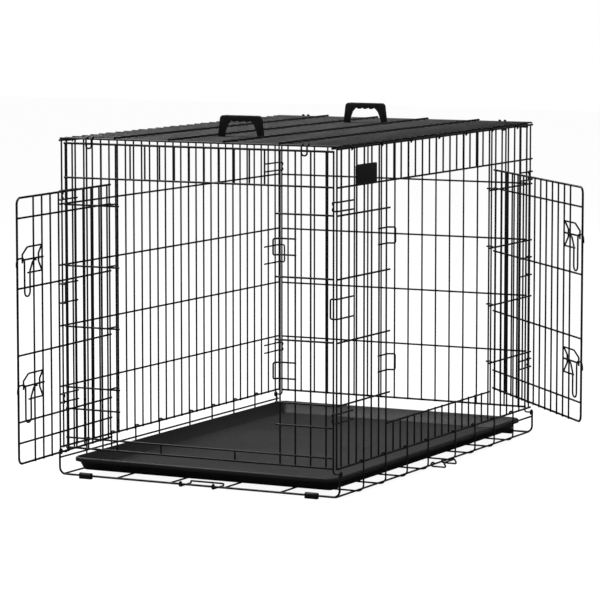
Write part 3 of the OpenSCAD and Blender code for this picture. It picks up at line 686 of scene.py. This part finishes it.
def slab(points, push):
    """A flat outline pushed along a vector into a solid."""
    sheet = bpy.data.meshes.new("slab")
    sheet.from_pydata([Vector(p) for p in points], [], [range(len(points))])
    solid = bpy.data.objects.new("slab", sheet)
    bpy.context.collection.objects.link(solid)
    deselect()
    solid.select_set(True)
    bpy.context.view_layer.objects.active = solid
    bpy.ops.object.mode_set(mode="EDIT")
    bpy.ops.mesh.select_all(action="SELECT")
    bpy.ops.mesh.extrude_region_move(TRANSFORM_OT_translate={"value": push})
    bpy.ops.object.mode_set(mode="OBJECT")
    return solid


long = TRAY_Y - TRAY_R - 40 * MM
foot, seat, foot_z, seat_z = 4 * MM, 7 * MM, 10.15 * MM, TRAY_Z + 0.2 * MM
runners = []
for x in (-204.5 * MM, 204.5 * MM):
    section = [(x - seat, -long, seat_z), (x - foot, -long, foot_z),
               (x + foot, -long, foot_z), (x + seat, -long, seat_z)]
    runners.append(slab(section, (0, 2 * long, 0)))
welded([tray, *runners], "tray_sheet_piece", "pan", "tray", material=tray_sheet)

# %% [markdown]
# ## Moulded pieces
# The handles, the foot sleeves and the name plate are injection-moulded. Each starts as an outline,
# `slab` pushes it to its thickness, and bevels round it over. A handle's legs are then narrowed towards
# the bosses that turn on the cross wire.


# %% Carry handles
HANDLE_Y, HALF_THICK, SHOULDER = 323 * MM, 7.5 * MM, 22 * MM
BOSS_X, BOSS_R, BOSS_HALF = 51 * MM, 5.6 * MM, 7 * MM


def arc_points(cx, cz, radius, start, stop, steps):
    turns = [math.radians(start + (stop - start) * i / steps) for i in range(steps + 1)]
    return [(cx + radius * math.cos(t), cz + radius * math.sin(t)) for t in turns]


def handle_outline():
    right = [(58, 0), (52.6, 37), *arc_points(43, 41, 9, 8, 90, 5)]
    left = [(-x, z) for x, z in reversed(right)]
    under = [(-44, 0), (-44, 8), (-37, 28), (-31, 34.4)]
    for x in (-24, -8, 8, 24):
        under += arc_points(x, 28.5, 9.5, 136, 44, 6)
    return right + left + under + [(31, 34.4), (37, 28), (44, 8), (44, 0)]


def handle(end):
    outline = [(x * MM, -HALF_THICK, z * MM) for x, z in handle_outline()]
    solid = slab(outline, (0, 2 * HALF_THICK, 0))
    bpy.ops.object.mode_set(mode="EDIT")
    bpy.ops.mesh.select_all(action="SELECT")
    bpy.ops.mesh.normals_make_consistent(inside=False)
    bpy.ops.mesh.select_mode(type="EDGE")
    bpy.ops.mesh.select_all(action="DESELECT")
    bpy.ops.object.mode_set(mode="OBJECT")
    for edge in solid.data.edges:
        a, b = (solid.data.vertices[i].co for i in edge.vertices)
        edge.select = abs(a.y - b.y) < MM and max(a.z, b.z) > MM
    bpy.ops.object.mode_set(mode="EDIT")
    bpy.ops.mesh.bevel(offset=3 * MM, segments=4, affect="EDGES", clamp_overlap=True)
    bpy.ops.mesh.select_mode(type="VERT")
    bpy.ops.object.mode_set(mode="OBJECT")
    for point in solid.data.vertices:
        if point.co.z < SHOULDER:
            half = BOSS_R + (HALF_THICK - BOSS_R) * point.co.z / SHOULDER
            point.co.y *= half / HALF_THICK
    place = Vector((0, end * HANDLE_Y, TOP_Z))
    solid.location = place
    pieces = [solid]
    side = Vector((BOSS_HALF, 0, 0))
    for x in (-BOSS_X, BOSS_X):
        middle = place + Vector((x, 0, 0))
        pieces.append(straight(middle - side, middle + side, BOSS_R, sides=32))
    return pieces


for name, end in (("front", -1), ("rear", 1)):
    welded(handle(end), f"{name}_handle_moulding", f"carry_{name}", f"{name}_handle",
           material=moulded_black)

# %% Foot sleeves
SLEEVE_X, SLEEVE_LONG = 290 * MM, 31 * MM
foot_outline = [(-5, 0), (5, 0), *arc_points(0, 8, 6, -33.56, 213.56, 18)]
for name, end in (("front", -1), ("rear", 1)):
    sleeves = []
    for x in (-SLEEVE_X, SLEEVE_X):
        section = [(x - SLEEVE_LONG / 2, end * POST_Y + y * MM, z * MM) for y, z in foot_outline]
        sleeves.append(slab(section, (SLEEVE_LONG, 0, 0)))
    welded(sleeves, f"{name}_foot_sleeves", "cage", f"{name}_feet",
           material=moulded_black)

# %% Name plate
back, middle, plate_z = ROW_OUT + ROW - WELD, 404 * MM, HEADER + 23 * MM
corner_x, corner_z, corner_r = 47, 17.5, 5
corners = ((1, 1, 0), (-1, 1, 90), (-1, -1, 180), (1, -1, 270))
plate_outline = [p for sx, sz, a in corners
                 for p in arc_points(sx * corner_x, sz * corner_z, corner_r, a, a + 90, 6)]
plate = [slab([(middle + x * MM, back, plate_z + z * MM) for x, z in plate_outline],
              (0, 3 * MM, 0))]
for x in [b for b in uprights(HALF_L) if abs(b - middle) < 46 * MM]:
    low, high, y = HEADER + ROW + 2 * MM, HEADER + ROW + 14 * MM, BAR - WELD
    pad = [(x - 5 * MM, y, low), (x + 5 * MM, y, low), (x + 5 * MM, y, high), (x - 5 * MM, y, high)]
    plate.append(slab(pad, (0, back - y + 0.5 * MM, 0)))
welded(plate, "name_plate_moulding", "cage", "name_plate", RIGHT,
       material=moulded_black)

# %% Write the sizes and close
low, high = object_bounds()
print("visual box", [round(v, 4) for v in (*low, *high)])
